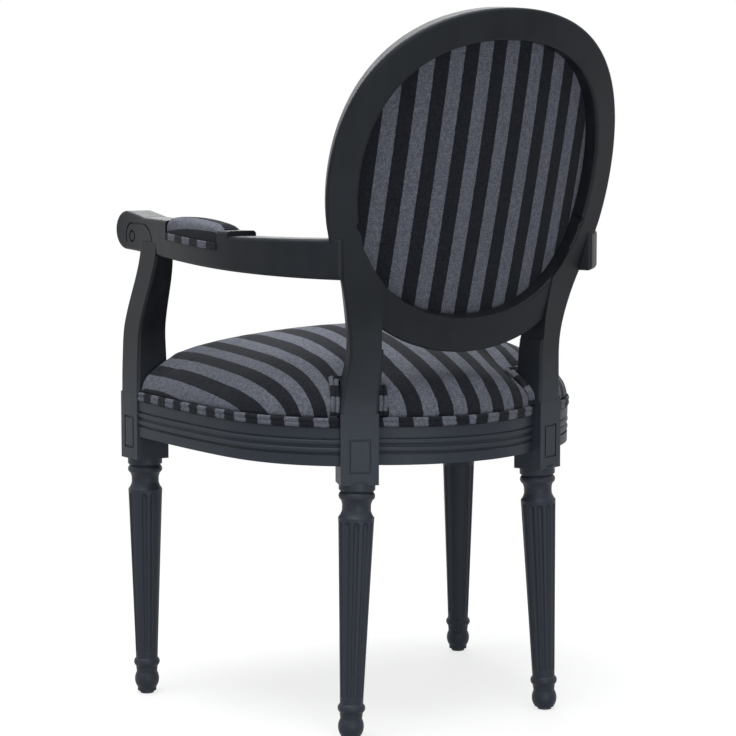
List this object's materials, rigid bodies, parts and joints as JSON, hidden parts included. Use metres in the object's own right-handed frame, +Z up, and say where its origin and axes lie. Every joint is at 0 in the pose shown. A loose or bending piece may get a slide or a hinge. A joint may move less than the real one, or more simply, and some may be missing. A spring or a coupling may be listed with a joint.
{
  "type": "dining armchair",
  "caption": "Open-arm dining armchair with a round padded back ring, turned and fluted legs, scrolled arms with pads, and a domed upholstered seat.",
  "frame": {"origin": "on the floor, under the middle of the chair's bounding box", "axes": "+Z up, -Y the way the sitter faces, +X the sitter's left"},
  "size_m": [0.603, 0.6146, 0.9893],
  "materials": {
    "painted_wood": "satin black paint, rubbed at the edges",
    "bare_wood": "bare hardwood",
    "screw_steel": "plain",
    "glide_plastic": "matte",
    "striped_fabric": "woven, grey and black stripes",
    "welt_fabric": "woven stripes cut across the cord",
    "foam": "open-cell foam",
    "webbing": "woven jute",
    "dust_cloth": "thin non-woven cloth",
    "lining": "stiff hessian"
  },
  "bodies": {
    "root": {"arm_dowels": "bare_wood", "arm_left": "painted_wood", "arm_pad_cover_left": "striped_fabric", "arm_pad_cover_right": "striped_fabric", "arm_pad_foam_left": "foam", "arm_pad_foam_right": "foam", "arm_pad_welt_left": "welt_fabric", "arm_pad_welt_right": "welt_fabric", "arm_post_left": "painted_wood", "arm_post_right": "painted_wood", "arm_right": "painted_wood", "back_cover": "striped_fabric", "back_foam": "foam", "back_liner": "lining", "back_panel": "striped_fabric", "back_rail": "painted_wood", "back_welt": "welt_fabric", "corner_block_front_left": "bare_wood", "corner_block_front_right": "bare_wood", "corner_block_rear_left": "bare_wood", "corner_block_rear_right": "bare_wood", "corner_screws": "screw_steel", "crest_dowels": "bare_wood", "crest_rail": "painted_wood", "dust_cover": "dust_cloth", "foot_glides": "glide_plastic", "front_leg_left": "painted_wood", "front_leg_right": "painted_wood", "front_rail": "painted_wood", "lower_back_rail": "painted_wood", "lower_rail_dowels": "bare_wood", "post_dowels": "bare_wood", "rail_dowels": "bare_wood", "rear_leg_left": "painted_wood", "rear_leg_right": "painted_wood", "seat_cover": "striped_fabric", "seat_foam": "foam", "seat_webbing": "webbing", "seat_welt": "welt_fabric", "side_rail_left": "painted_wood", "side_rail_right": "painted_wood"}
  },
  "joints": []
}
